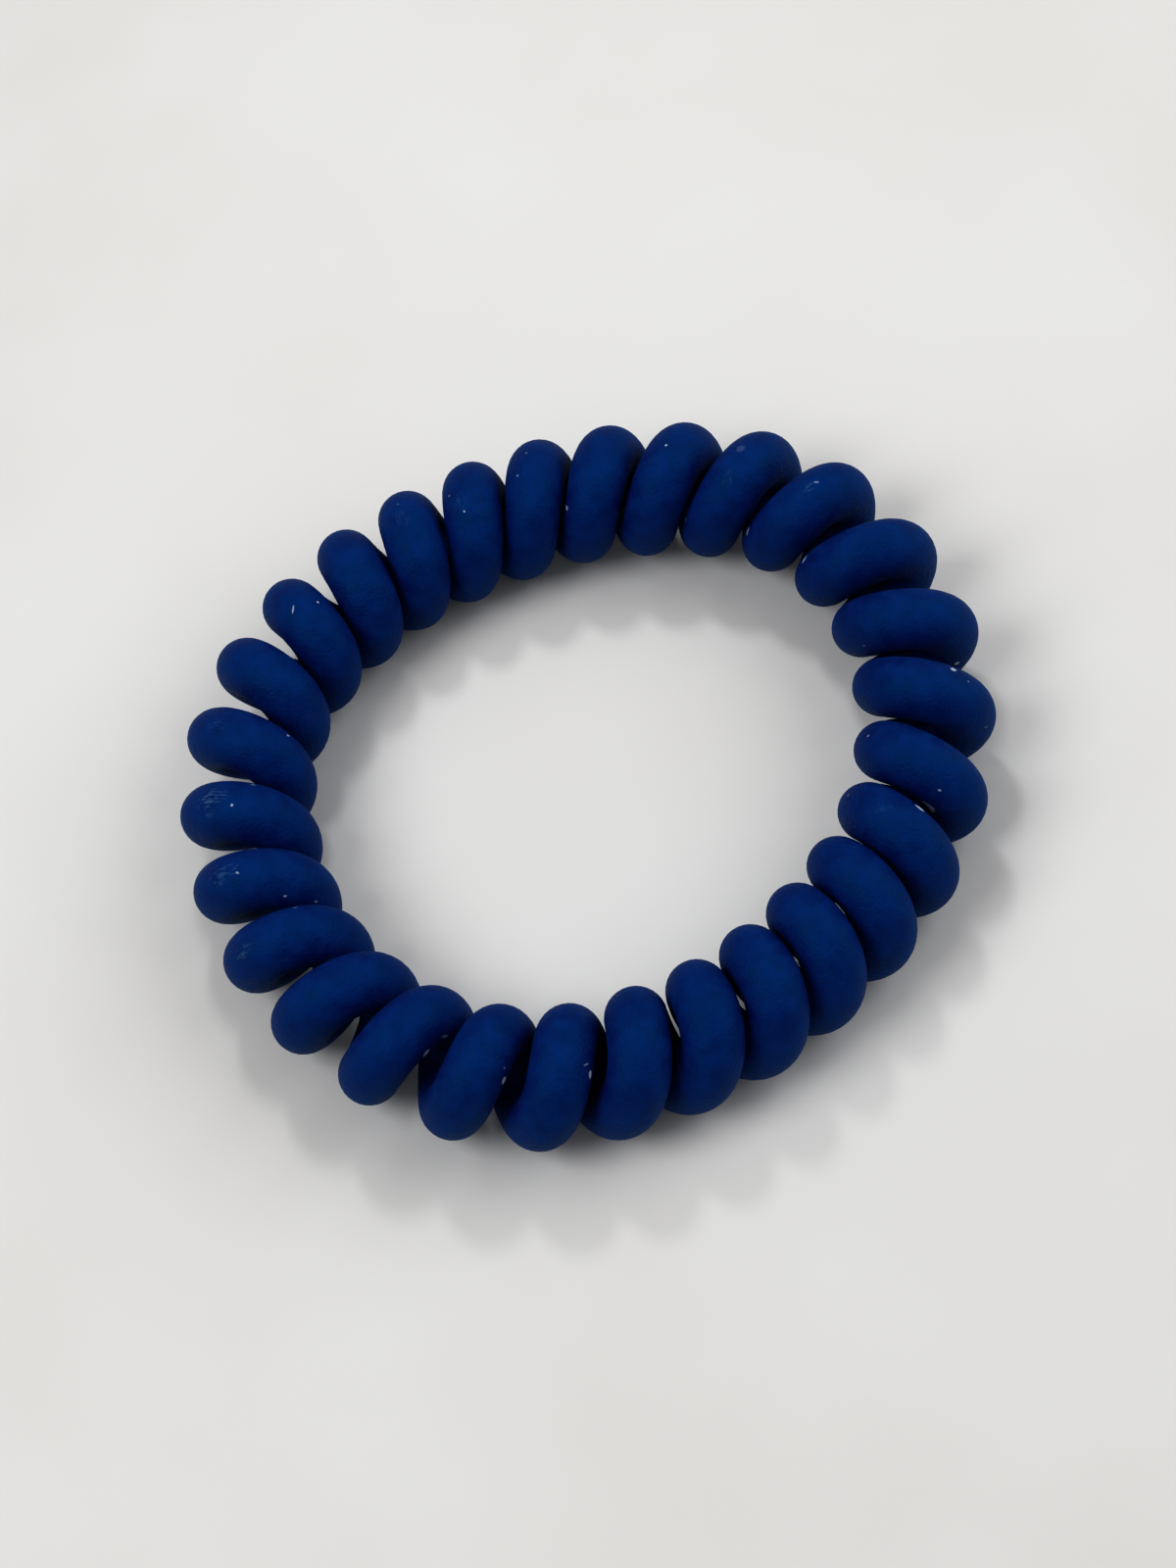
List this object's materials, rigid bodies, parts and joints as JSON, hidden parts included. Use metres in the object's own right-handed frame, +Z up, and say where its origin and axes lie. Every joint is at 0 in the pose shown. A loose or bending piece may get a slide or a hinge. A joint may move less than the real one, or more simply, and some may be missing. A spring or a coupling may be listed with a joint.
{
  "type": "spiral hair tie",
  "caption": "Closed ring of tightly coiled matte navy cord that stretches round a ponytail or bun and holds it without creasing the hair.",
  "frame": {"origin": "centre of the ring's outline, on the surface that it lies on", "axes": "+Z up out of the ring's flat side, through its hole; +X along its slightly longer diameter"},
  "size_m": [0.057, 0.0534, 0.0095],
  "materials": {
    "soft_touch_navy": "matte soft-touch rubbery plastic in navy blue, with a fine even grain, a few pale scuffs and specks of lint"
  },
  "bodies": {
    "root": {"coiled_cord": "soft_touch_navy"}
  },
  "joints": []
}
